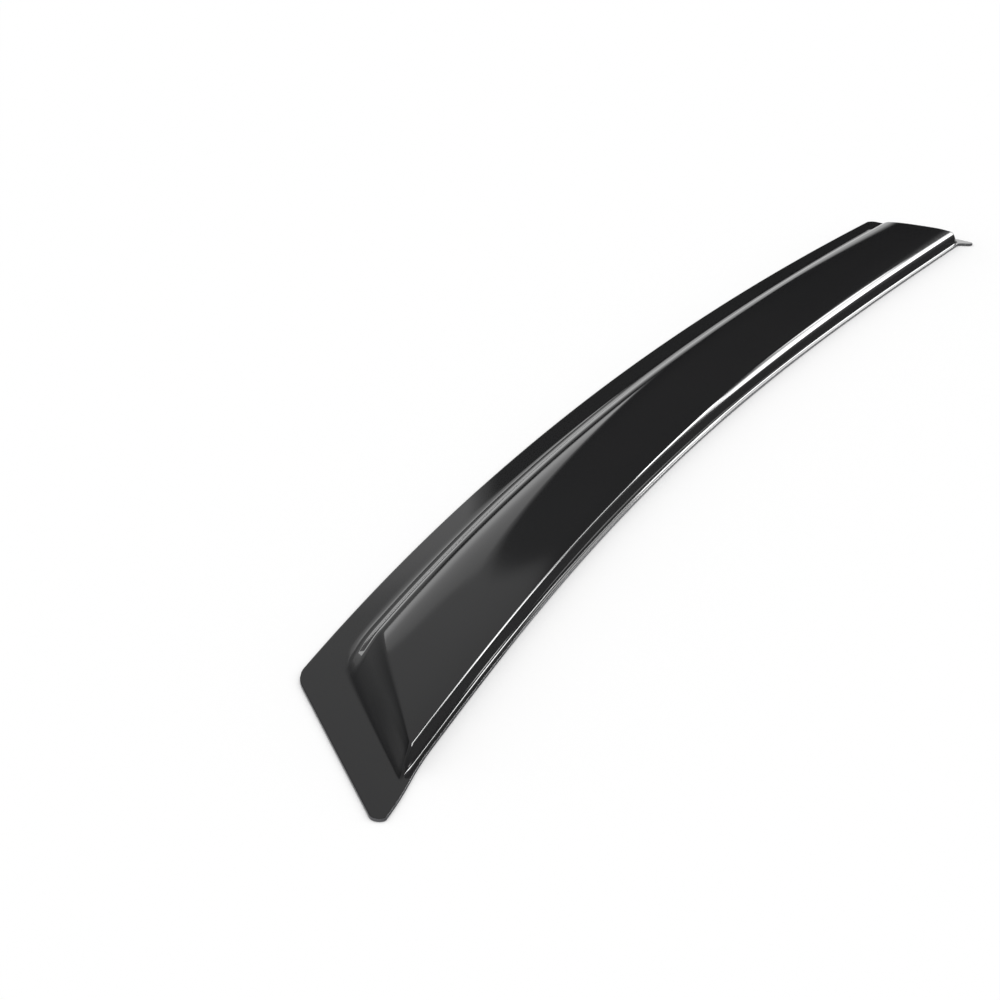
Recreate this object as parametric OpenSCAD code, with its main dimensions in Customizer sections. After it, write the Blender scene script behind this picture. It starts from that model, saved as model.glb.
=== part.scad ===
// Window rain deflector: one moulded sheet of dark acrylic that keeps rain out of a car's open side window.
// It lies on its mounting flange with the outer face up. X runs along the length, from the slanted end at -X
// to the square end at +X. Y points from the raised body to the mounting edge, and Z points out of the car.
// The origin is on the flange's inner face, halfway along and in the middle of its width.

/* [Mounting edge] */
// Length of the mounting edge along its curve, from corner to corner
edge_length = 900; // [600:1:1100]
// Angle that the mounting edge turns through along its length
edge_bend = 16.5; // [4:0.1:24]

/* [Section] */
// Thickness of the sheet
wall = 1.6; // [1:0.1:3]
// Width of the mounting flange's flat part at the slanted end
flange_w_slanted = 12.4; // [8:0.1:18]
// Width of the mounting flange's flat part at the square end
flange_w_square = 8; // [6:0.1:18]
// Distance from the mounting edge to the side wall at the slanted end
side_at_slanted = 79.4; // [66:0.5:96]
// Distance from the mounting edge to the side wall at the square end
side_at_square = 76.2; // [66:0.5:96]
// How much further out the side wall runs halfway along
side_bulge = 7; // [0:0.5:12]
// Height of the body's edges above the flange
body_rise = 8; // [6.5:0.1:12]
// Slope of the body's outer face beside its bends, where the crown ends
body_lean = 8.3; // [2:0.1:12]
// Slope of the step between flange and body
step_slope = 45; // [30:1:60]
// Slope of the side wall above the lip
side_slope = 82; // [65:1:84]
// Width of the lip outside the side wall at the slanted end
lip_w_slanted = 2.8; // [1.4:0.1:5]
// Width of the lip outside the side wall at the square end
lip_w_square = 2; // [1.4:0.1:5]

/* [Bends of the sheet] */
// Radius of the gentle sweep with which the flange starts to rise
sweep_r = 26; // [12:0.5:40]
// Slope that the sweep reaches
sweep_slope = 10; // [4:0.5:15]
// Outside radius in the foot of the step
step_foot_r = 7; // [3:0.1:10]
// Outside radius along the top of the step at the slanted end
step_edge_r_slanted = 6.8; // [3:0.1:18]
// Outside radius along the top of the step at the square end
step_edge_r_square = 16; // [3:0.1:18]
// Inside radius along the top of the side wall at the slanted end
side_edge_inside_r_slanted = 0.3; // [0.2:0.1:5]
// Inside radius along the top of the side wall at the square end
side_edge_inside_r_square = 3.7; // [0.2:0.1:5]
// Outside radius in the foot of the side wall
side_foot_r = 1.2; // [0.4:0.1:1.4]

/* [Slanted end] */
// Lean of the slanted cut, away from square across the edge
slanted_cut = 59; // [20:0.5:64]
// Width of the flat end flange along the slanted cut
slanted_flange_w = 23; // [12:0.5:32]
// Length of the ramp beside the step
slanted_ramp_step = 27; // [8:0.5:30]
// Length of the ramp beside the side wall
slanted_ramp_side = 12; // [8:0.5:30]
// Radius of the corner between mounting edge and slanted cut
slanted_corner_r = 45; // [5:1:70]
// Radius of the slanted end's point
slanted_point_r = 4.5; // [2:0.5:8]
// How far the lip swings out to the slanted end's point
slanted_swing = 3; // [0:0.1:10]

/* [Square end] */
// Lean of the square end's cut, towards the slanted end
square_cut = 8.5; // [0:0.5:30]
// Width of the flat flange at the square end, beside the step
square_flange_w_step = 14; // [5:0.5:20]
// Width of the flat flange at the square end, beside the side wall
square_flange_w_side = 5; // [4:0.5:20]
// Length of the steep end wall
square_ramp = 6; // [5:0.5:20]
// Radius of the body's corner beside the step, seen from above
square_body_r_step = 12; // [2:0.5:20]
// Radius of the body's corner beside the side wall, seen from above
square_body_r_side = 2.5; // [2:0.5:20]
// Radius of the corner between mounting edge and square end
square_corner_r = 5; // [2:0.5:15]
// Radius of the square end's outer point
square_point_r = 3; // [1:0.5:6]
// How far the lip swings out to the square end's point
square_swing = 8.5; // [0:0.1:10]

/* [Hidden] */

// How late the flange narrows and the step softens towards the square end
late = 3;
// How quickly the side wall's bulge dies away towards the ends
narrowing = 4;
// Shares of the length between which the top of the side wall turns from crisp to round
soft_from = 0.38;
soft_to = 0.74;
// The crown's height falls with this power of the distance from its middle line, so it is flat in the middle
crown_power = 3.5;

// The mounting edge is an arc, and all across lines point to its centre
bend_r = edge_length / (edge_bend * PI / 180);
origin_r = bend_r - flange_w(0.5) / 2;
middle_w = (side_at_slanted + side_at_square) / 2;

// Shares of a ramp's length that its foot and its top take to bend
ramp_foot_share = 0.25;
ramp_top_share = 0.45;
ramp_steepness = 1 / (1 - (ramp_foot_share + ramp_top_share) / 2);
// Distance from an end over which the lip swings out, in end flange widths
swing_reach = 1.5;
// Where the rows start and stop lying close together, in widths of the end flange and of all up to the plateau
close_from = 0.65;
close_to = 1.1;

// Steps across the section
flange_steps = 4;
sweep_steps = 3;
foot_steps = 4;
step_edge_steps = 5;
crown_steps = 10;
side_edge_steps = 7;
side_foot_steps = 3;
lip_steps = 4;
// Steps along the length
slanted_steps = 18;
middle_steps = 22;
square_steps = 11;

function mix(from, to, share) = from + (to - from) * share;
function within(x, low, high) = max(low, min(high, x));

// Smooth rise from 0 to 1 over x from 0 to 1, with a bend at the foot and one at the top
function ramp(x, foot = ramp_foot_share, top = ramp_top_share) =
    let (steepness = 1 / (1 - (foot + top) / 2))
    x <= 0 ? 0 :
    x >= 1 ? 1 :
    x < foot ? steepness * x * x / (2 * foot) :
    x > 1 - top ? 1 - steepness * (1 - x) * (1 - x) / (2 * top) :
    steepness * (x - foot / 2);

function flange_w(share) = mix(flange_w_slanted, flange_w_square, pow(share, late));
function side_at(share) =
    mix(side_at_slanted, side_at_square, share) + side_bulge * (1 - pow(abs(2 * share - 1), narrowing));

// Height gained by a round bend, for a radius of 1
function turn_rise(from, to) = abs(cos(from) - cos(to));

// Points of a round bend from a start point, each as [across, height, slope]
function bend(start, from, to, r, steps) =
    let (turn = sign(to - from))
    [for (i = [0 : steps]) let (slope = mix(from, to, i / steps))
        [start.x + turn * r * (sin(slope) - sin(from)),
         start.y + turn * r * (cos(from) - cos(slope)),
         slope]];

// Where a bend round a sharp corner starts
function before_corner(corner, from, to, r) =
    corner - r * tan(abs(to - from) / 2) * [cos(from), sin(from)];

// Outer radius along the top of the side wall, held back where the wall is too low for it
function side_edge_r(share) =
    min(wall + mix(side_edge_inside_r_slanted, side_edge_inside_r_square,
                   ramp((share - soft_from) / (soft_to - soft_from), foot = 0.5, top = 0.5)),
        (body_rise / sin(side_slope) - side_foot_r * tan(side_slope / 2)) / tan((side_slope - body_lean) / 2));

// Height above the flange at which the bends of both edges meet the crown
function crown_rise(share) =
    body_rise + side_edge_r(share) * tan((side_slope - body_lean) / 2) * sin(body_lean);

// The step's outer face, from the flat flange up to the crown
function step_face(share) =
    let (edge_rise = crown_rise(share) - sweep_r * turn_rise(0, sweep_slope)
             - step_foot_r * turn_rise(sweep_slope, step_slope),
         edge_r = min(mix(step_edge_r_slanted, step_edge_r_square, pow(share, late)),
                      edge_rise / turn_rise(step_slope, body_lean)),
         straight = (edge_rise - edge_r * turn_rise(step_slope, body_lean)) / sin(step_slope),
         sweep = bend([flange_w(share), wall], 0, sweep_slope, sweep_r, sweep_steps),
         foot = bend(sweep[sweep_steps], sweep_slope, step_slope, step_foot_r, foot_steps),
         edge_start = foot[foot_steps] + straight * [cos(step_slope), sin(step_slope), 0])
    concat(
        sweep,
        [for (i = [1 : foot_steps]) foot[i]],
        bend(edge_start, step_slope, body_lean, edge_r, step_edge_steps));

// The crowned middle of the outer face, between two points at the same height
function crown_face(from, to) =
    let (middle = (from.x + to.x) / 2, half = (to.x - from.x) / 2, lean = tan(body_lean))
    [for (i = [1 : crown_steps - 1]) let (x = -cos(180 * i / crown_steps), away = abs(x))
        [middle + half * x,
         from.y + lean * half * (1 - pow(away, crown_power)) / crown_power,
         -sign(x) * atan(lean * pow(away, crown_power - 1))]];

// Outer face of the section at a share of the length, full height, from mounting edge to lip
function section(share, rim) =
    let (side_top = [side_at(share), wall + body_rise],
         side_bottom = [side_at(share) + body_rise / tan(side_slope), wall],
         edge_r = side_edge_r(share),
         step = step_face(share),
         side_edge = bend(before_corner(side_top, -body_lean, -side_slope, edge_r),
                          -body_lean, -side_slope, edge_r, side_edge_steps),
         side_foot = bend(before_corner(side_bottom, -side_slope, 0, side_foot_r),
                          -side_slope, 0, side_foot_r, side_foot_steps),
         lip_from = side_foot[side_foot_steps].x)
    concat(
        [for (i = [0 : flange_steps - 1]) [flange_w(share) * pow(i / flange_steps, 2), wall, 0]],
        step,
        crown_face(step[len(step) - 1], side_edge[0]),
        side_edge,
        side_foot,
        [for (i = [1 : lip_steps]) [rim - (rim - lip_from) * pow(1 - i / lip_steps, 2), wall, 0]]);

// Where the section ends across, with the lip swung out at both ends
function rim_at(share) =
    side_at(share) + body_rise / tan(side_slope) + mix(lip_w_slanted, lip_w_square, share)
    + slanted_swing * swing(share * end_distance(slanted_cut), slanted_flange_w)
    + square_swing * swing((1 - share) * end_distance(-square_cut), square_flange_w_side);
function end_distance(cut) = edge_length * cos(cut);
function swing(distance, flange) = 1 - ramp(distance / flange / swing_reach, foot = 0.5, top = 0.5);

// How far along the arc a straight cut lies from the middle, at a distance across
function cut_line(across, cut) =
    edge_length / 2 + bend_r * (asin(bend_r * sin(cut) / (bend_r - across)) - cut) * PI / 180;

// How far a rounded corner lies inside the sharp one, at a distance from the edge that it meets
function corner_pull(from_edge, r, cut) =
    from_edge >= r * (1 + sin(cut)) ? 0 :
    (r - from_edge) * tan(cut) + r / cos(cut) - sqrt(max(0, r * r - pow(r - from_edge, 2)));

function end_reach(across, rim, cut, corner_r, point_r) =
    cut_line(across, cut) - corner_pull(across, corner_r, -cut) - corner_pull(rim - across, point_r, cut);

// Place along the arc of a point at a share of the length
function along(share, across, rim) =
    mix(-end_reach(across, rim, slanted_cut, slanted_corner_r, slanted_point_r),
        end_reach(across, rim, -square_cut, square_corner_r, square_point_r), share);

// Where the step ends and the crown starts, at the slanted end
step_top_at = step_face(0)[len(step_face(0)) - 1].x;

// Share of the full height at a place; depth is 0 on the outer face and the wall on the inner one
function height_share(share, place, across, depth) =
    let (side_x = rim_at(share) - mix(lip_w_slanted, lip_w_square, share),
         aside = within((across - step_top_at) / (side_at_slanted - step_top_at), 0, 1),
         slanted_ramp = mix(slanted_ramp_step, slanted_ramp_side, aside),
         square_flange_w = mix(square_flange_w_step, square_flange_w_side, aside),
         slanted_d = (place + cut_line(across, slanted_cut)) * cos(slanted_cut),
         square_d = (cut_line(across, -square_cut) - place) * cos(square_cut)
             - corner_pull(max(0, across - flange_w(share)), square_body_r_step, 0)
             - corner_pull(max(0, side_x - across), square_body_r_side, 0))
    ramp((slanted_d - slanted_flange_w - ramp_shift(slanted_ramp, depth)) / slanted_ramp)
    * ramp((square_d - square_flange_w - ramp_shift(square_ramp, depth)) / square_ramp);

// An inner ramp starts later, so that the sheet keeps its thickness on the slope
function ramp_shift(length, depth) = depth * tan(atan(ramp_steepness * body_rise / length) / 2);

function in_plan(place, across, height) =
    let (turn = place / bend_r * 180 / PI, r = bend_r - across)
    [r * sin(turn), r * cos(turn) - origin_r, height];

function outer_row(share) =
    let (rim = rim_at(share))
    [for (p = section(share, rim)) let (place = along(share, p.x, rim))
        in_plan(place, p.x, wall + (p.y - wall) * height_share(share, place, p.x, 0))];

function inner_row(share) =
    let (rim = rim_at(share))
    [for (p = section(share, rim))
        let (across = p.x + wall * sin(p.z), height = p.y - wall * cos(p.z), place = along(share, across, rim))
        in_plan(place, across, height * height_share(share, place, across, wall))];

// Shares of the length at which the rows lie, close together on the ramps
function share_of(distance, cut) =
    distance / cos(cut) / (cut_line(middle_w / 2, slanted_cut) + cut_line(middle_w / 2, -square_cut));
slanted_close = share_of(close_from * slanted_flange_w, slanted_cut);
slanted_open = share_of(close_to * (slanted_flange_w + max(slanted_ramp_step, slanted_ramp_side)), slanted_cut);
square_close = 1 - share_of(close_from * square_flange_w_side, square_cut);
square_open = 1 - share_of(close_to * (square_flange_w_step + square_ramp + square_body_r_step), square_cut);
shares = concat(
    [0, slanted_close / 2],
    [for (i = [0 : slanted_steps - 1]) mix(slanted_close, slanted_open, i / slanted_steps)],
    [for (i = [0 : middle_steps - 1]) mix(slanted_open, square_open, i / middle_steps)],
    [for (i = [0 : square_steps]) mix(square_open, square_close, i / square_steps)],
    [1]);

// The sheet as one closed skin: the outer face, the inner face and the trimmed edge all round
module deflector_shell() {
    outer = [for (share = shares) outer_row(share)];
    inner = [for (share = shares) inner_row(share)];
    rows = len(outer);
    columns = len(outer[0]);
    function at(row, column) = row * columns + column;
    function under(row, column) = rows * columns + at(row, column);
    face_quads = [for (i = [0 : rows - 2], k = [0 : columns - 2])
        [[at(i, k), at(i + 1, k), at(i + 1, k + 1), at(i, k + 1)],
         [under(i, k), under(i, k + 1), under(i + 1, k + 1), under(i + 1, k)]]];
    edge_quads = [for (i = [0 : rows - 2])
        [[at(i + 1, 0), at(i, 0), under(i, 0), under(i + 1, 0)],
         [at(i, columns - 1), at(i + 1, columns - 1), under(i + 1, columns - 1), under(i, columns - 1)]]];
    end_quads = [for (k = [0 : columns - 2])
        [[at(0, k), at(0, k + 1), under(0, k + 1), under(0, k)],
         [at(rows - 1, k + 1), at(rows - 1, k), under(rows - 1, k), under(rows - 1, k + 1)]]];
    color([0.07, 0.07, 0.075])
        polyhedron(
            points = [for (row = concat(outer, inner)) each row],
            faces = [for (pair = concat(face_quads, edge_quads, end_quads), quad = pair)
                each [[quad[0], quad[1], quad[2]], [quad[0], quad[2], quad[3]]]],
            convexity = 6);
}

deflector_shell();
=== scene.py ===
"""Window rain deflector: the drawn sheet of dark acrylic, its finish, and the studio around it.

The sheet is made by a rule, in Geometry Nodes: a plain grid is bent into the deflector's section,
laid along the arc of the mounting edge, cut slanted at both ends and ramped down to the end flanges.
All lengths are metres and all angles radians unless a name says otherwise.
"""

from math import cos, pi, radians, sin, tan

import bpy
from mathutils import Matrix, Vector


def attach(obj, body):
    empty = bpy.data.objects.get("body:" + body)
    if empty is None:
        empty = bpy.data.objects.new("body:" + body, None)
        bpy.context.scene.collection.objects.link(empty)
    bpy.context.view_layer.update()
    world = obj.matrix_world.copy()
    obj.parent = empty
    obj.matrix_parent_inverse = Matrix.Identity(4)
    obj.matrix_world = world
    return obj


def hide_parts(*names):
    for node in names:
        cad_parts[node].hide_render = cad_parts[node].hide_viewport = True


MM = 0.001

# The sheet's sizes, as the mould has them
SHEET = {
    "edge length": 900 * MM,
    "edge bend": radians(16.5),
    "wall": 1.6 * MM,
    "flange width slanted": 12.4 * MM,
    "flange width square": 8 * MM,
    "side at slanted": 79.4 * MM,
    "side at square": 76.2 * MM,
    "side bulge": 7 * MM,
    "body rise": 8 * MM,
    "body lean": radians(8.3),
    "step slope": radians(45),
    "side slope": radians(82),
    "lip width slanted": 2.8 * MM,
    "lip width square": 2 * MM,
    "sweep radius": 26 * MM,
    "sweep slope": radians(10),
    "step foot radius": 7 * MM,
    "step edge radius slanted": 6.8 * MM,
    "step edge radius square": 16 * MM,
    "side edge radius slanted": 1.9 * MM,
    "side edge radius square": 5.3 * MM,
    "side foot radius": 1.2 * MM,
    "slanted cut": radians(59),
    "slanted flange width": 23 * MM,
    "slanted ramp at step": 27 * MM,
    "slanted ramp at side": 12 * MM,
    "slanted corner radius": 45 * MM,
    "slanted point radius": 4.5 * MM,
    "slanted swing": 3 * MM,
    "square cut": radians(8.5),
    "square flange at step": 14 * MM,
    "square flange at side": 5 * MM,
    "square ramp": 6 * MM,
    "square body radius at step": 12 * MM,
    "square body radius at side": 2.5 * MM,
    "square corner radius": 5 * MM,
    "square point radius": 3 * MM,
    "square swing": 8.5 * MM,
}
# How late the flange narrows and the step softens towards the square end
LATE = 3
# How quickly the side wall's bulge dies away towards the ends
NARROWING = 4
# Shares of the length between which the top of the side wall turns from crisp to round
SOFT_FROM, SOFT_TO = 0.38, 0.74
# The crown's height falls with this power of the distance from its middle line
CROWN_POWER = 3.5
# Shares of a ramp's length that its foot and its top take to bend
RAMP_FOOT, RAMP_TOP = 0.25, 0.45
# Distance from an end over which the lip swings out, in end flange widths
SWING_REACH = 1.5

# Rounding of the trimmed edge all round, and the flat kept beside it
TRIM_RADIUS = 0.3 * MM
TRIM_STEPS = 3
TRIM_MARGIN = TRIM_RADIUS + 0.4 * MM
# Points that drop this far below a face belong to the trimmed edge
TRIM_DROP = 0.05 * MM
# Points of both faces closer than this are joined, which closes the sheet
JOIN_WITHIN = 0.004 * MM

# Stretches of the section, from the mounting edge to the lip, with the steps that each takes
FLANGE, SWEEP, STEP_FOOT, STEP_EDGE, CROWN, SIDE_EDGE, SIDE_FOOT, LIP = range(8)
STRETCH_STEPS = {
    FLANGE: 8,
    SWEEP: 6,
    STEP_FOOT: 16,
    STEP_EDGE: 18,
    CROWN: 22,
    SIDE_EDGE: 14,
    SIDE_FOOT: 8,
    LIP: 8,
}
# Stretches that the next one doesn't start from: a straight piece or the rim follows
OPEN_ENDED = (STEP_FOOT, SIDE_EDGE, LIP)

# Rows along the length: metres from the trimmed end that each close run covers, and its steps
SLANTED_RUN, SLANTED_ROWS = 118 * MM, 112
MIDDLE_ROWS = 160
SQUARE_RUN, SQUARE_ROWS = 37 * MM, 56

# What the rule reads at each point of the plain grid, and the kind of number
POINT_VALUES = {
    "share": "FLOAT",
    "slanted_inset": "FLOAT",
    "square_inset": "FLOAT",
    "stretch": "INT",
    "turn": "FLOAT",
    "inset": "FLOAT",
    "drop": "FLOAT",
    "inner": "FLOAT",
}

# The camera, placed where the deflector shows as it does in the photograph
CAMERA_PLACE = (-1.7115, -0.7017, 0.6314)
CAMERA_TURN, CAMERA_DIP = 1.14896, 0.36027
CAMERA_LENS_MM = 115.41


# Numbers in a node tree


class Amount:
    """A number in a node tree. Sums and products of amounts become Math nodes."""

    def __init__(self, tree, socket):
        self.tree = tree
        self.socket = socket

    def math(self, operation, *others):
        node = self.tree.nodes.new("ShaderNodeMath")
        node.operation = operation
        for place, value in zip(node.inputs, (self, *others)):
            put(self.tree, place, value)
        return Amount(self.tree, node.outputs[0])

    def __add__(self, other):
        return self.math("ADD", other)

    def __mul__(self, other):
        return self.math("MULTIPLY", other)

    def __sub__(self, other):
        return self.math("SUBTRACT", other)

    def __truediv__(self, other):
        return self.math("DIVIDE", other)

    def __neg__(self):
        return self * -1

    def __rsub__(self, other):
        return -self + other

    def __rtruediv__(self, other):
        return self.math("POWER", -1) * other

    def __pow__(self, power):
        return self.math("POWER", power)

    __radd__ = __add__
    __rmul__ = __mul__

    def above(self, low):
        return self.math("MAXIMUM", low)

    def below(self, high):
        return self.math("MINIMUM", high)

    def within(self, low, high):
        return self.above(low).below(high)

    def sine(self):
        return self.math("SINE")

    def cosine(self):
        return self.math("COSINE")

    def tangent(self):
        return self.math("TANGENT")


def put(tree, place, value):
    """Feeds a value or an amount into a node's input."""
    if isinstance(value, Amount):
        tree.links.new(value.socket, place)
    else:
        place.default_value = value


def blend(start, end, share):
    return start + (end - start) * share


def pick(tree, index, amounts):
    """The amount whose number is the index."""
    node = tree.nodes.new("GeometryNodeIndexSwitch")
    node.data_type = "FLOAT"
    while len(node.index_switch_items) < len(amounts):
        node.index_switch_items.new()
    put(tree, node.inputs["Index"], index)
    for place, amount in zip(list(node.inputs)[1:], amounts):
        put(tree, place, amount)
    return Amount(tree, node.outputs[0])


def read(tree, name, kind):
    """A value that each point of the grid carries."""
    node = tree.nodes.new("GeometryNodeInputNamedAttribute")
    node.data_type = kind
    node.inputs["Name"].default_value = name
    return Amount(tree, node.outputs["Attribute"])


# The rule of the sheet


def eased(x, width):
    """x with a soft start over the width."""
    return x.within(0, width) ** 2 / (2 * width) + (x - width).above(0)


def ramp(x, foot=RAMP_FOOT, top=RAMP_TOP):
    """Smooth rise from 0 to 1 while x goes from 0 to 1, bent at the foot and at the top."""
    return (eased(x, foot) - eased(x - (1 - top), top)) / (1 - (foot + top) / 2)


def s_curve(x):
    """A rise from 0 to 1 that bends over its whole length."""
    return ramp(x, foot=0.5, top=0.5)


def turn_rise(start, end):
    """Height gained by a round bend between two slopes, for a radius of 1."""
    return (start.cosine() - end.cosine()).math("ABSOLUTE")


def bend(place, start, end, turn, radius, share):
    """Round bend of the sheet from a place: (across, height, slope) at a share of it."""
    slope = blend(start, end, share)
    across = place[0] + radius * turn * (slope.sine() - start.sine())
    height = place[1] + radius * turn * (start.cosine() - slope.cosine())
    return across, height, slope


def before_corner(corner, start, end, radius):
    """Where a bend round a sharp corner starts."""
    reach = radius * ((end - start) / 2).tangent().math("ABSOLUTE")
    return corner[0] - reach * start.cosine(), corner[1] - reach * start.sine()


def flange_width(size, share):
    return blend(size["flange width slanted"], size["flange width square"], share**LATE)


def widths(size, share):
    """Side wall, lip and rim of the section at a share of the length."""
    away = (share * 2 - 1).math("ABSOLUTE") ** NARROWING
    bulge = size["side bulge"] * (1 - away)
    side_at = blend(size["side at slanted"], size["side at square"], share) + bulge
    lip = blend(size["lip width slanted"], size["lip width square"], share)
    slanted_gone = share * size["edge length"] * size["slanted cut"].cosine()
    square_gone = (1 - share) * size["edge length"] * size["square cut"].cosine()
    slanted_left = 1 - s_curve(slanted_gone / size["slanted flange width"] / SWING_REACH)
    square_left = 1 - s_curve(square_gone / size["square flange at side"] / SWING_REACH)
    swing = size["slanted swing"] * slanted_left + size["square swing"] * square_left
    rim = side_at + size["body rise"] / size["side slope"].tangent() + lip + swing
    return side_at, lip, rim


def side_edge_radius(size, share):
    """Outer radius along the top of the side wall, held back where the wall is too low for it."""
    soft = s_curve((share - SOFT_FROM) / (SOFT_TO - SOFT_FROM))
    radius = blend(size["side edge radius slanted"], size["side edge radius square"], soft)
    foot_reach = size["side foot radius"] * (size["side slope"] / 2).tangent()
    room = size["body rise"] / size["side slope"].sine() - foot_reach
    return radius.below(room / ((size["side slope"] - size["body lean"]) / 2).tangent())


def crown_rise(size, share):
    """Height above the flange at which the bends of both edges meet the crown."""
    reach = side_edge_radius(size, share) * ((size["side slope"] - size["body lean"]) / 2).tangent()
    return size["body rise"] + reach * size["body lean"].sine()


def step_face(size, share, turn):
    """The sweep, foot and edge of the step and where it ends, each as (across, height, slope)."""
    level = share * 0  # no slope, as an amount that sines and cosines take
    flange = flange_width(size, share)
    swept, slope, lean = size["sweep slope"], size["step slope"], size["body lean"]
    sweep_rise = size["sweep radius"] * turn_rise(level, swept)
    foot_rise = size["step foot radius"] * turn_rise(swept, slope)
    edge_rise = crown_rise(size, share) - (sweep_rise + foot_rise)
    radius = blend(size["step edge radius slanted"], size["step edge radius square"], share**LATE)
    radius = radius.below(edge_rise / turn_rise(slope, lean))
    straight = (edge_rise - radius * turn_rise(slope, lean)) / slope.sine()
    sweep = ((flange, size["wall"]), level, swept, 1, size["sweep radius"])
    foot = (bend(*sweep, 1)[:2], swept, slope, 1, size["step foot radius"])
    foot_end = bend(*foot, 1)
    edge_start = foot_end[0] + straight * slope.cosine(), foot_end[1] + straight * slope.sine()
    edge = (edge_start, slope, lean, -1, radius)
    return bend(*sweep, turn), bend(*foot, turn), bend(*edge, turn), bend(*edge, 1)


def crown_face(size, turn, start, end):
    """The crowned middle of the outer face, between two points at the same height."""
    half = (end[0] - start[0]) / 2
    x = -(turn * pi).cosine()
    away, lean = x.math("ABSOLUTE"), size["body lean"].tangent()
    across = start[0] + half * (x + 1)
    height = start[1] + lean * half * (1 - away**CROWN_POWER) / CROWN_POWER
    slope = -(lean * away ** (CROWN_POWER - 1)).math("ARCTANGENT") * x.math("SIGN")
    return across, height, slope


def section(tree, size, share, stretch, turn, inset):
    """(across, height, slope) of a point of the outer face, at the body's full height."""
    side_at, lip, rim = widths(size, share)
    wall, rise, side, lean = size["wall"], size["body rise"], size["side slope"], size["body lean"]
    level = share * 0
    radius = side_edge_radius(size, share)
    foot_radius = size["side foot radius"]
    side_top = before_corner((side_at, wall + rise), -lean, -side, radius)
    side_bottom = before_corner((side_at + rise / side.tangent(), wall), -side, level, foot_radius)
    side_edge = (side_top, -lean, -side, -1, radius)
    side_foot = (side_bottom, -side, level, 1, foot_radius)
    sweep, step_foot, step_edge, crown_start = step_face(size, share, turn)
    lip_from = bend(*side_foot, 1)[0]
    points = (
        (blend(inset, flange_width(size, share), turn), wall, level),
        sweep,
        step_foot,
        step_edge,
        crown_face(size, turn, crown_start, side_top),
        bend(*side_edge, turn),
        bend(*side_foot, turn),
        (blend(lip_from, rim - inset, turn), wall, level),
    )
    across, height, slope = (pick(tree, stretch, values) for values in zip(*points))
    return across, height, slope, rim, lip


def cut_line(size, bend_radius, across, cut):
    """How far along the arc a straight cut lies from the middle, at a distance across."""
    lean = (bend_radius * cut.sine() / (bend_radius - across)).math("ARCSINE")
    return size["edge length"] / 2 + bend_radius * (lean - cut)


def corner_pull(from_edge, radius, cut):
    """How far a rounded corner lies inside the sharp one, at a distance from the edge that it meets."""
    near = radius - from_edge
    rounded = (radius * radius - near * near).above(0).math("SQRT")
    pull = near * cut.tangent() + radius / cut.cosine() - rounded
    return pull * from_edge.math("LESS_THAN", radius * (1 + cut.sine()))


def end_reach(size, bend_radius, across, rim, cut, corner_radius, point_radius):
    """How far from the middle the trimmed end lies, with its corner and its point rounded."""
    return (
        cut_line(size, bend_radius, across, cut)
        - corner_pull(across, corner_radius, -cut)
        - corner_pull(rim - across, point_radius, cut)
    )


def height_share(size, bend_radius, place, across, depth, share, rim, lip):
    """Share of the full height at a place, between the ramps of both ends."""
    level = share * 0
    step_top_at = step_face(size, level, level)[-1][0]
    aside = ((across - step_top_at) / (size["side at slanted"] - step_top_at)).within(0, 1)
    slanted_ramp = blend(size["slanted ramp at step"], size["slanted ramp at side"], aside)
    square_flange = blend(size["square flange at step"], size["square flange at side"], aside)
    slanted_line = cut_line(size, bend_radius, across, size["slanted cut"])
    square_line = cut_line(size, bend_radius, across, -size["square cut"])
    from_step = (across - flange_width(size, share)).above(0)
    from_side = (rim - lip - across).above(0)
    slanted_gone = (place + slanted_line) * size["slanted cut"].cosine()
    square_gone = (
        (square_line - place) * size["square cut"].cosine()
        - corner_pull(from_step, size["square body radius at step"], level)
        - corner_pull(from_side, size["square body radius at side"], level)
    )
    slanted_rise = end_ramp(size, slanted_gone - size["slanted flange width"], slanted_ramp, depth)
    square_rise = end_ramp(size, square_gone - square_flange, size["square ramp"], depth)
    return slanted_rise * square_rise


def end_ramp(size, gone, length, depth):
    """Height share of one ramp. Deeper in the sheet it starts later, so that the wall stays even."""
    steepness = size["body rise"] / length / (1 - (RAMP_FOOT + RAMP_TOP) / 2)
    late = depth * (steepness.math("ARCTANGENT") / 2).tangent()
    return ramp((gone - late) / length)


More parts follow.
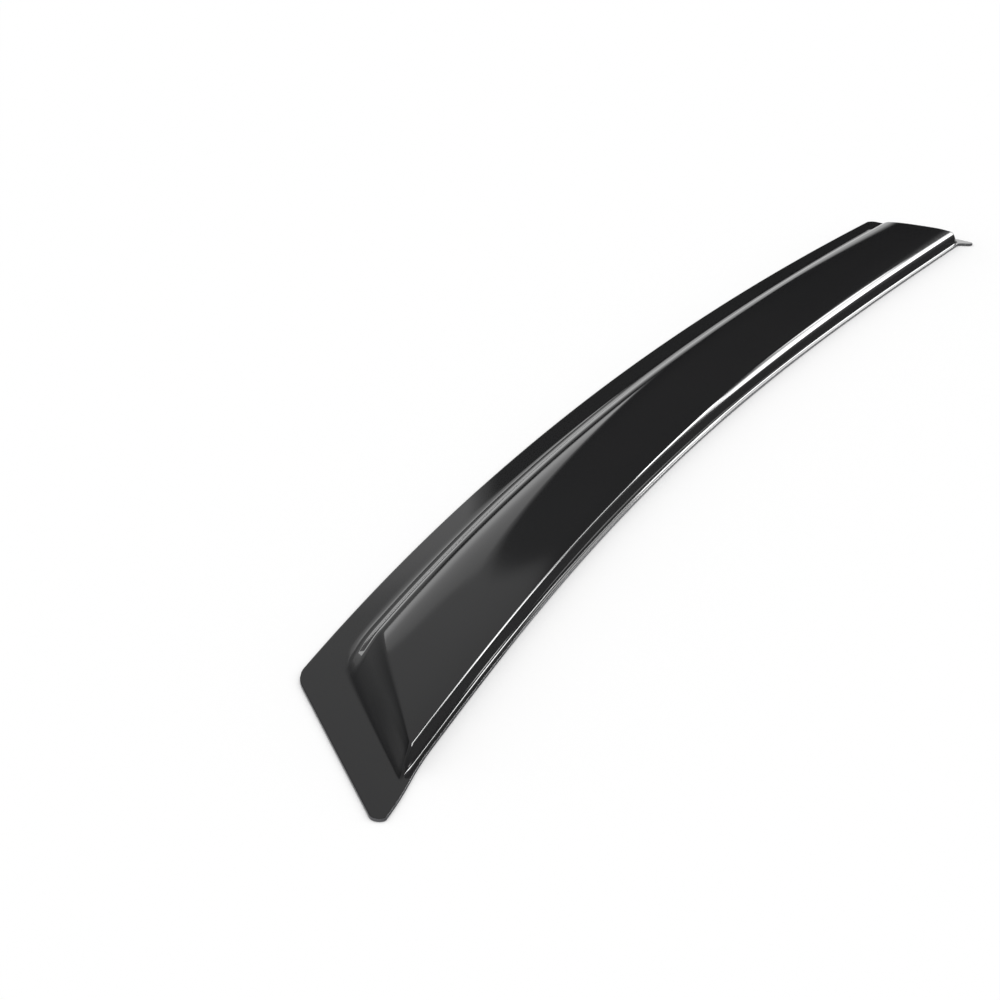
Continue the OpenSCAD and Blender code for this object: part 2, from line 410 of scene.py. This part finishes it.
def sheet_rule(face, edge):
    """The node tree that turns the plain grid into the drawn sheet."""
    tree = bpy.data.node_groups.new("drawn_sheet", "GeometryNodeTree")
    tree.interface.new_socket("Grid", in_out="INPUT", socket_type="NodeSocketGeometry")
    for name in SHEET:
        tree.interface.new_socket(name, in_out="INPUT", socket_type="NodeSocketFloat")
    tree.interface.new_socket("Sheet", in_out="OUTPUT", socket_type="NodeSocketGeometry")
    entry = tree.nodes.new("NodeGroupInput")
    size = {name: Amount(tree, entry.outputs[name]) for name in SHEET}

    point = {name: read(tree, name, kind) for name, kind in POINT_VALUES.items()}
    share, inner = point["share"], point["inner"]

    wall = size["wall"]
    bend_radius = size["edge length"] / size["edge bend"]
    across, height, slope, rim, lip = section(
        tree, size, share, point["stretch"], point["turn"], point["inset"]
    )
    depth = wall * inner
    across = across + depth * slope.sine()

    slanted_radii = size["slanted corner radius"], size["slanted point radius"]
    square_radii = size["square corner radius"], size["square point radius"]
    slanted_reach = end_reach(size, bend_radius, across, rim, size["slanted cut"], *slanted_radii)
    square_reach = end_reach(size, bend_radius, across, rim, -size["square cut"], *square_radii)
    place = blend(
        point["slanted_inset"] / size["slanted cut"].cosine() - slanted_reach,
        square_reach - point["square_inset"] / size["square cut"].cosine(),
        share,
    )
    raised = height_share(size, bend_radius, place, across, depth, share, rim, lip)
    base = wall - depth
    level = base + (height - depth * slope.cosine() - base) * raised
    level = level + point["drop"] * (inner * 2 - 1)

    origin = bend_radius - flange_width(size, 0.5) / 2
    angle = place / bend_radius
    spot = tree.nodes.new("ShaderNodeCombineXYZ")
    put(tree, spot.inputs["X"], (bend_radius - across) * angle.sine())
    put(tree, spot.inputs["Y"], (bend_radius - across) * angle.cosine() - origin)
    put(tree, spot.inputs["Z"], level)

    shaped = tree.nodes.new("GeometryNodeSetPosition")
    closed = tree.nodes.new("GeometryNodeMergeByDistance")
    closed.inputs["Distance"].default_value = JOIN_WITHIN
    smooth = tree.nodes.new("GeometryNodeSetShadeSmooth")
    whole = tree.nodes.new("GeometryNodeRealizeInstances")
    faces = tree.nodes.new("GeometryNodeSetMaterial")
    edges = tree.nodes.new("GeometryNodeSetMaterial")
    faces.inputs["Material"].default_value = face
    edges.inputs["Material"].default_value = edge
    leave = tree.nodes.new("NodeGroupOutput")
    put(tree, edges.inputs["Selection"], point["drop"].math("GREATER_THAN", TRIM_DROP))
    tree.links.new(spot.outputs[0], shaped.inputs["Position"])
    chain = [entry, shaped, closed, smooth, whole, faces, edges, leave]
    for before, after in zip(chain, chain[1:]):
        tree.links.new(before.outputs[0], after.inputs[0])
    return tree


# The grid that the rule shapes


def trim_profile(wall):
    """(inset, drop) of the trimmed edge, from the middle of the sheet's thickness up to its face."""
    turns = [pi / 2 * step / TRIM_STEPS for step in range(TRIM_STEPS + 1)]
    arc = [(TRIM_RADIUS * (1 - cos(turn)), TRIM_RADIUS * (1 - sin(turn))) for turn in turns]
    return [(0.0, wall / 2), *arc]


def grid_columns(wall):
    """(stretch, turn, inset, drop) of each column, from the mounting edge to the lip's rim."""
    trim = trim_profile(wall)
    columns = [(FLANGE, 0.0, inset, drop) for inset, drop in trim]
    for stretch, steps in STRETCH_STEPS.items():
        last = steps if stretch in OPEN_ENDED else steps - 1
        columns += [(stretch, step / steps, TRIM_MARGIN, 0.0) for step in range(last + 1)]
    return columns + [(LIP, 1.0, inset, drop) for inset, drop in reversed(trim)]


def grid_rows(wall):
    """(share, slanted inset, square inset, drop) of each row, from the slanted end to the square end."""
    trim = trim_profile(wall)
    length = SHEET["edge length"] + SHEET["side at slanted"] / 2 * tan(SHEET["slanted cut"])
    slanted, square = SLANTED_RUN / length, 1 - SQUARE_RUN / length
    shares = [
        *(slanted * row / SLANTED_ROWS for row in range(SLANTED_ROWS)),
        *(slanted + (square - slanted) * row / MIDDLE_ROWS for row in range(MIDDLE_ROWS)),
        *(square + (1 - square) * row / SQUARE_ROWS for row in range(SQUARE_ROWS + 1)),
    ]
    return [
        *((0.0, inset, TRIM_MARGIN, drop) for inset, drop in trim),
        *((share, TRIM_MARGIN, TRIM_MARGIN, 0.0) for share in shares),
        *((1.0, TRIM_MARGIN, inset, drop) for inset, drop in reversed(trim)),
    ]


def sheet_grid():
    """The plain grid of both faces, each point with the values that the rule reads."""
    rows, columns = grid_rows(SHEET["wall"]), grid_columns(SHEET["wall"])
    points = [(row, column, inner) for inner in (0, 1) for row in rows for column in columns]
    wide, tall = len(columns), len(rows)
    faces = []
    for inner in (0, 1):
        for i in range(tall - 1):
            for k in range(wide - 1):
                corner = (inner * tall + i) * wide + k
                quad = (corner, corner + wide, corner + wide + 1, corner + 1)
                faces.append(quad[::-1] if not inner else quad)
    mesh = bpy.data.meshes.new("rain_deflector")
    mesh.from_pydata([(i * MM, 0, 0) for i in range(len(points))], [], faces)
    values = {
        "share": [row[0] for row, _, _ in points],
        "slanted_inset": [row[1] for row, _, _ in points],
        "square_inset": [row[2] for row, _, _ in points],
        "stretch": [column[0] for _, column, _ in points],
        "turn": [column[1] for _, column, _ in points],
        "inset": [column[2] for _, column, _ in points],
        "drop": [max(row[3], column[3]) for row, column, _ in points],
        "inner": [inner for _, _, inner in points],
    }
    for name, kind in POINT_VALUES.items():
        mesh.attributes.new(name, kind, "POINT").data.foreach_set("value", values[name])
    return mesh


def drawn_sheet(face, edge):
    """The deflector's sheet as a plain mesh."""
    maker = bpy.data.objects.new("rain_deflector", sheet_grid())
    bpy.context.scene.collection.objects.link(maker)
    rule = maker.modifiers.new("drawn_sheet", "NODES")
    rule.node_group = sheet_rule(face, edge)
    for item in rule.node_group.interface.items_tree:
        if item.item_type == "SOCKET" and item.name in SHEET:
            rule[item.identifier] = SHEET[item.name]
    bpy.context.view_layer.update()
    made = bpy.data.meshes.new_from_object(maker.evaluated_get(bpy.context.evaluated_depsgraph_get()))
    maker.modifiers.remove(rule)
    plain = maker.data
    maker.data = made
    bpy.data.meshes.remove(plain)
    made.name = "rain_deflector"
    for name in POINT_VALUES:
        if name in made.attributes:
            made.attributes.remove(made.attributes[name])
    return maker


# Finishes

ACRYLIC_IOR = 1.49
# Colours of the sheet and of its cut edge, each between two shades
SMOKE_SHADES = (0.0075, 0.0078, 0.0085), (0.0105, 0.0105, 0.011)
EDGE_SHADES = (0.05, 0.05, 0.055), (0.11, 0.11, 0.115)
# How far a height of 1 stands out: the waves of the drawn sheet, and the cutter's lines
WAVE_DEPTH, CUTTER_LINE_DEPTH = 0.05 * MM, 0.02 * MM
# Share of the fine ripples in those waves
RIPPLE_SHARE = 0.02
# Smooth noise seldom leaves this range, which is spread from 0 to 1 where a mask needs it
NOISE_LOW, NOISE_HIGH = 0.25, 0.75
# Share of the haze that lies in rub marks
RUB_SHARE = 0.6


def new_material(name):
    """A material with its nodes, and the shader that takes its values."""
    material = bpy.data.materials.new(name)
    material.use_nodes = True
    return material, material.node_tree, material.node_tree.nodes["Principled BSDF"]


def pattern(tree, scale, detail, stretch=(1, 1, 1)):
    """Smooth noise over the piece, in metres, stretched along its axes."""
    coordinates = tree.nodes.new("ShaderNodeTexCoord")
    mapping = tree.nodes.new("ShaderNodeMapping")
    mapping.inputs["Scale"].default_value = stretch
    noise = tree.nodes.new("ShaderNodeTexNoise")
    noise.inputs["Scale"].default_value = scale
    noise.inputs["Detail"].default_value = detail
    tree.links.new(coordinates.outputs["Object"], mapping.inputs["Vector"])
    tree.links.new(mapping.outputs["Vector"], noise.inputs["Vector"])
    return Amount(tree, noise.outputs["Fac"])


def spread(tree, noise):
    """Noise spread so that it runs from 0 to 1."""
    node = tree.nodes.new("ShaderNodeMapRange")
    put(tree, node.inputs["Value"], noise)
    node.inputs["From Min"].default_value = NOISE_LOW
    node.inputs["From Max"].default_value = NOISE_HIGH
    return Amount(tree, node.outputs["Result"])


def handling_haze():
    """Shader group: faint haze and rub marks that polished acrylic takes from moulding and handling."""
    tree = bpy.data.node_groups.new("handling_haze", "ShaderNodeTree")
    for name in ("Gloss", "Haze"):
        tree.interface.new_socket(name, in_out="INPUT", socket_type="NodeSocketFloat")
    tree.interface.new_socket("Roughness", in_out="OUTPUT", socket_type="NodeSocketFloat")
    entry, leave = tree.nodes.new("NodeGroupInput"), tree.nodes.new("NodeGroupOutput")
    gloss, haze = (Amount(tree, entry.outputs[name]) for name in ("Gloss", "Haze"))
    cloud = spread(tree, pattern(tree, scale=14, detail=3, stretch=(1, 3, 1)))
    rubs = spread(tree, pattern(tree, scale=160, detail=4, stretch=(1, 9, 1))) ** 4
    put(tree, leave.inputs["Roughness"], gloss + haze * cloud * (rubs * RUB_SHARE + (1 - RUB_SHARE)))
    return tree


def acrylic(name, haze, gloss, hazing):
    """A material of acrylic, with the roughness that the haze group gives it."""
    material, tree, shader = new_material(name)
    shader.inputs["IOR"].default_value = ACRYLIC_IOR
    rough = tree.nodes.new("ShaderNodeGroup")
    rough.node_tree = haze
    rough.inputs["Gloss"].default_value = gloss
    rough.inputs["Haze"].default_value = hazing
    tree.links.new(rough.outputs["Roughness"], shader.inputs["Roughness"])
    return material, tree, shader


def tint(tree, shader, amount, dark, light):
    """Colours a shader between two shades, by an amount from 0 to 1."""
    node = tree.nodes.new("ShaderNodeMix")
    node.data_type = "RGBA"
    put(tree, node.inputs["Factor"], amount)
    node.inputs["A"].default_value = (*dark, 1)
    node.inputs["B"].default_value = (*light, 1)
    tree.links.new(node.outputs["Result"], shader.inputs["Base Color"])


def relief(tree, shader, height, depth):
    """Gives a shader fine relief, where a height of 1 stands out by the depth."""
    bump = tree.nodes.new("ShaderNodeBump")
    bump.inputs["Distance"].default_value = depth
    bump.inputs["Strength"].default_value = 1.0
    put(tree, bump.inputs["Height"], height)
    tree.links.new(bump.outputs["Normal"], shader.inputs["Normal"])


def smoked_acrylic(haze):
    """Polished, nearly black sheet: drawn in the mould, so its faces are a little wavy."""
    material, tree, shader = acrylic("smoked_acrylic", haze, gloss=0.03, hazing=0.05)
    tint(tree, shader, pattern(tree, scale=9, detail=2), *SMOKE_SHADES)
    ripples = pattern(tree, scale=55, detail=1) * RIPPLE_SHARE
    relief(tree, shader, pattern(tree, scale=9, detail=1, stretch=(1, 2.5, 1)) + ripples, WAVE_DEPTH)
    return material


def trimmed_edge(haze):
    """The sheet's cut edge: satin, with fine lines from the cutter."""
    material, tree, shader = acrylic("trimmed_edge", haze, gloss=0.28, hazing=0.15)
    lines = pattern(tree, scale=900, detail=2, stretch=(1, 1, 0.1))
    tint(tree, shader, lines, *EDGE_SHADES)
    relief(tree, shader, lines, CUTTER_LINE_DEPTH)
    return material


# Studio

STUDIO_RADIUS = 40.0
CARD_STEPS = 40

# The floor: its paleness, its own light towards rays that show the background, its level and its reach
FLOOR_COLOUR = 0.86
FLOOR_GLOW = 0.14
FLOOR_LEVEL = -0.02 * MM
FLOOR_REACH = STUDIO_RADIUS * 1.5

# Far cards, the back ones first. Each lies between two lines of (azimuth, elevation) corners in degrees.
# It has its brightness at both lines, and the degrees that its left, right, lower and upper rim fade over.
FAR_CARDS = (
    dict(
        name="grey_tent",
        lower=[(-180, 0), (180, 0)],
        upper=[(-180, 89), (180, 89)],
        brightness=(0.31, 0.31),
        soft=(0, 0, 0, 0),
    ),
    dict(
        name="horizon_glow",
        lower=[(50, -1), (72, -1)],
        upper=[(50, 4), (56, 8), (60, 13), (65, 13), (69, 11.5), (72, 12)],
        brightness=(1.0, 1.0),
        soft=(2, 1.5, 0, 2.5),
    ),
    dict(
        name="ramp_flag",
        lower=[(18, -1), (30, -1), (34, 10), (40, 13), (63, 13)],
        upper=[(18, 24), (24, 30), (36, 34), (50, 36), (63, 34)],
        brightness=(0.24, 0.0),
        soft=(3, 14, 0, 3),
    ),
    dict(
        name="backdrop_glow",
        lower=[(57.5, 18.4), (65.3, 14)],
        upper=[(57.5, 22.8), (63, 22.8), (65.3, 22.3)],
        brightness=(0.95, 0.45),
        soft=(1.5, 0.2, 0.3, 0.7),
    ),
    dict(
        name="backdrop_foot",
        lower=[(57.5, 18.4), (65.3, 14)],
        upper=[(57.5, 22), (65.3, 18)],
        brightness=(1.35, 1.2),
        soft=(1.5, 0.2, 0.3, 3),
    ),
    dict(
        name="backdrop_gap",
        lower=[(58.5, 16.2), (65.6, 12.2)],
        upper=[(58.5, 17.8), (65.6, 13.8)],
        brightness=(0.03, 0.03),
        soft=(1.5, 0.1, 0.5, 0.2),
    ),
    dict(
        name="dark_flag",
        lower=[(65.3, 12.6), (68.4, 10.2), (71, 11.6), (73, 12.4), (80, 12)],
        upper=[(65.3, 22.3), (66.5, 23), (73, 26.4), (80, 30)],
        brightness=(0.015, 0.08),
        soft=(0.3, 3, 0.5, 0.8),
    ),
    dict(
        name="softbox_left",
        lower=[(77, 21), (85, 24.2), (90, 26)],
        upper=[(77, 24), (85, 26.2), (90, 27)],
        brightness=(7, 9),
        soft=(4, 1, 0.8, 0.5),
    ),
    dict(
        name="softbox_middle",
        lower=[(89, 25.5), (99, 24.5)],
        upper=[(89, 27.9), (99, 27.6)],
        brightness=(6.5, 6.5),
        soft=(1, 1, 0.4, 0.4),
    ),
    dict(
        name="softbox_right",
        lower=[(98, 25.2), (104, 22.4), (108, 19.6), (111, 16.4), (116, 11)],
        upper=[(98, 30), (104, 28), (108, 26), (111, 24), (116, 19)],
        brightness=(14, 14),
        soft=(1, 3, 1, 0.5),
    ),
    dict(
        name="side_flag",
        lower=[(108, -1), (128, -1)],
        upper=[(108, 6), (112, 7), (118, 5), (128, 4)],
        brightness=(0.1, 0.1),
        soft=(2, 0, 0, 2),
    ),
)

# Upright flat cards close to the sheet, each placed by the angles in degrees at which one spot sees it
NEAR_CARDS = (
    dict(
        name="slanted_end_strip",
        seen_from=(-0.392, -0.110),
        distance=0.4,
        azimuths=(96, 110),
        elevations=(14, 27),
        brightness=14,
    ),
    dict(
        name="middle_strip",
        seen_from=(-0.035, -0.084),
        distance=0.5,
        azimuths=(79, 97),
        elevations=(25.2, 33),
        brightness=14,
    ),
    dict(
        name="tab_card",
        seen_from=(0.42, -0.112),
        distance=0.05,
        azimuths=(50, 98),
        elevations=(6, 25),
        brightness=2.0,
    ),
)
# Share of a near card's width and height over which each rim fades
NEAR_CARD_SOFT = 0.15

# Dark strip on the floor along the lip: distance from the side wall, width, height, and its ends as angles
STRIP_BESIDE, STRIP_WIDTH, STRIP_HEIGHT = 6.5 * MM, 1.4, 0.4 * MM
STRIP_FROM, STRIP_TO = -0.3, 0.6
STRIP_BRIGHTNESS = 0.1


def backdrop_rays(tree):
    """1 for rays that show the background: from the camera, mirrored or passed through, and 0 for others."""
    path = tree.nodes.new("ShaderNodeLightPath")
    seen = Amount(tree, path.outputs["Is Camera Ray"])
    for name in ("Is Glossy Ray", "Is Transmission Ray"):
        seen = seen.above(Amount(tree, path.outputs[name]))
    return seen


def white_floor():
    """Pale floor that shows white where nothing shades it."""
    material, tree, shader = new_material("studio_floor")
    shader.inputs["Base Color"].default_value = (FLOOR_COLOUR, FLOOR_COLOUR, FLOOR_COLOUR, 1)
    shader.inputs["Roughness"].default_value = 0.9
    shader.inputs["Specular IOR Level"].default_value = 0.0
    shader.inputs["Emission Color"].default_value = (1, 1, 1, 1)
    put(tree, shader.inputs["Emission Strength"], backdrop_rays(tree) * FLOOR_GLOW)
    mesh = bpy.data.meshes.new("floor")
    corners = [(-1, -1), (1, -1), (1, 1), (-1, 1)]
    points = [(x * FLOOR_REACH, y * FLOOR_REACH, FLOOR_LEVEL) for x, y in corners]
    mesh.from_pydata(points, [], [(0, 1, 2, 3)])
    mesh.materials.append(material)
    floor = bpy.data.objects.new("floor", mesh)
    bpy.context.scene.collection.objects.link(floor)


def along_line(line, azimuth):
    """Elevation of a line of (azimuth, elevation) corners at an azimuth."""
    for (start, low), (end, high) in zip(line, line[1:]):
        if azimuth <= end:
            return low + (high - low) * (azimuth - start) / (end - start)
    return line[-1][1]


def fade_in(distance, soft):
    """1 inside a card, falling smoothly to 0 at its rim where the rim is soft."""
    share = min(1.0, max(0.0, distance / soft)) if soft else 1.0
    return share * share * (3 - 2 * share)


def card_mesh(name, rows, points, glows, fades, light):
    """A card from rows of points, with its brightness and its soft rim. Only mirrored rays see it."""
    across = len(points) // rows
    faces = []
    for i in range(rows - 1):
        for k in range(across - 1):
            corner = i * across + k
            faces.append((corner, corner + 1, corner + across + 1, corner + across))
    mesh = bpy.data.meshes.new(name)
    mesh.from_pydata(points, [], faces)
    mesh.attributes.new("glow", "FLOAT", "POINT").data.foreach_set("value", glows)
    mesh.attributes.new("fade", "FLOAT", "POINT").data.foreach_set("value", fades)
    mesh.materials.append(light)
    card = bpy.data.objects.new(name, mesh)
    bpy.context.scene.collection.objects.link(card)
    for rays in ("camera", "diffuse", "transmission", "volume_scatter", "shadow"):
        setattr(card, "visible_" + rays, False)


def far_card(name, lower, upper, brightness, soft, distance, light):
    """A curved card far off, between two lines. Azimuth runs from +Y towards +X."""
    points, glows, fades = [], [], []
    first, last = lower[0][0], lower[-1][0]
    for i in range(CARD_STEPS + 1):
        azimuth = first + (last - first) * i / CARD_STEPS
        low, high = along_line(lower, azimuth), along_line(upper, azimuth)
        for k in range(CARD_STEPS + 1):
            share = k / CARD_STEPS
            elevation = low + (high - low) * share
            turn, tilt = radians(azimuth), radians(elevation)
            points.append(Vector((sin(turn) * cos(tilt), cos(turn) * cos(tilt), sin(tilt))) * distance)
            rims = (azimuth - first, last - azimuth, elevation - low, high - elevation)
            fade = 1.0
            for rim, width in zip(rims, soft):
                fade *= fade_in(rim, width)
            glows.append(blend(*brightness, share))
            fades.append(fade)
    card_mesh(name, CARD_STEPS + 1, points, glows, fades, light)


def near_card(name, seen_from, distance, azimuths, elevations, brightness, light):
    """An upright flat card close to the sheet, at a distance from the spot that sees it."""
    middle = radians((azimuths[0] + azimuths[1]) / 2)
    half = distance * tan(radians((azimuths[1] - azimuths[0]) / 2))
    low, high = (distance * tan(radians(elevation)) for elevation in elevations)
    points, fades = [], []
    for i in range(CARD_STEPS + 1):
        aside = 2 * i / CARD_STEPS - 1
        for k in range(CARD_STEPS + 1):
            share = k / CARD_STEPS
            points.append(
                (
                    seen_from[0] + distance * sin(middle) + half * aside * cos(middle),
                    seen_from[1] + distance * cos(middle) - half * aside * sin(middle),
                    low + (high - low) * share,
                )
            )
            rims = ((1 - abs(aside)) / 2, min(share, 1 - share))
            fades.append(fade_in(rims[0], NEAR_CARD_SOFT) * fade_in(rims[1], NEAR_CARD_SOFT))
    card_mesh(name, CARD_STEPS + 1, points, [brightness] * len(points), fades, light)


def floor_strip(light):
    """A dark strip that lies on the floor along the lip, for the side wall to mirror."""
    bend_radius = SHEET["edge length"] / SHEET["edge bend"]
    origin = bend_radius - flange_width(SHEET, 0.5) / 2
    points = []
    for i in range(CARD_STEPS + 1):
        angle = STRIP_FROM + (STRIP_TO - STRIP_FROM) * i / CARD_STEPS
        share = min(1.0, max(0.0, angle / SHEET["edge bend"] + 0.5))
        bulge = SHEET["side bulge"] * (1 - abs(share * 2 - 1) ** NARROWING)
        beside = blend(SHEET["side at slanted"], SHEET["side at square"], share) + bulge + STRIP_BESIDE
        for across in (beside, beside + STRIP_WIDTH):
            reach = bend_radius - across
            points.append((reach * sin(angle), reach * cos(angle) - origin, STRIP_HEIGHT))
    glows, fades = [STRIP_BRIGHTNESS] * len(points), [1.0] * len(points)
    card_mesh("floor_strip", CARD_STEPS + 1, points, glows, fades, light)


def card_light():
    """Light of the cards: each point has its own brightness, and a soft rim lets what is behind show."""
    material, tree, shader = new_material("studio_card_light")
    tree.nodes.remove(shader)
    glow, fade = tree.nodes.new("ShaderNodeAttribute"), tree.nodes.new("ShaderNodeAttribute")
    glow.attribute_name, fade.attribute_name = "glow", "fade"
    light = tree.nodes.new("ShaderNodeEmission")
    clear = tree.nodes.new("ShaderNodeBsdfTransparent")
    mix = tree.nodes.new("ShaderNodeMixShader")
    tree.links.new(glow.outputs["Color"], light.inputs["Color"])
    tree.links.new(fade.outputs["Fac"], mix.inputs["Fac"])
    tree.links.new(clear.outputs[0], mix.inputs[1])
    tree.links.new(light.outputs[0], mix.inputs[2])
    tree.links.new(mix.outputs[0], tree.nodes["Material Output"].inputs["Surface"])
    return material


def studio():
    """White surroundings, a grey tent over the deflector, and the cards that its gloss mirrors."""
    world = bpy.data.worlds.new("studio")
    bpy.context.scene.world = world
    world.use_nodes = True
    background = world.node_tree.nodes["Background"]
    background.inputs["Color"].default_value = (1, 1, 1, 1)
    background.inputs["Strength"].default_value = 1.0
    white_floor()
    light = card_light()
    for place, card in enumerate(FAR_CARDS):
        far_card(**card, distance=STUDIO_RADIUS - place, light=light)
    for card in NEAR_CARDS:
        near_card(**card, light=light)
    floor_strip(light)


def camera():
    """The camera of the photograph: a long lens off the slanted end, looking down at the sheet."""
    data = bpy.data.cameras.new("camera")
    data.sensor_width = 36
    data.lens = CAMERA_LENS_MM
    data.clip_end = 200
    made = bpy.data.objects.new("camera", data)
    made.location = CAMERA_PLACE
    made.rotation_euler = (pi / 2 - CAMERA_DIP, 0, -CAMERA_TURN)
    bpy.context.scene.collection.objects.link(made)
    bpy.context.scene.camera = made


# Scene

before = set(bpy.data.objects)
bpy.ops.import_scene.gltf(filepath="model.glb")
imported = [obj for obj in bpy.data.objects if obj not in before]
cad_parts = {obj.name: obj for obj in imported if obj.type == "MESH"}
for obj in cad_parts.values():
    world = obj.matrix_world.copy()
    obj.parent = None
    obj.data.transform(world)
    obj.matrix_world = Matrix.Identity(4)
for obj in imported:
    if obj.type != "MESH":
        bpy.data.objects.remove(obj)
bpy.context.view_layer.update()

haze = handling_haze()
sheet = drawn_sheet(smoked_acrylic(haze), trimmed_edge(haze))
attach(sheet, "root")
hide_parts("deflector_shell")

studio()
camera()
bpy.context.scene.view_settings.view_transform = "Standard"
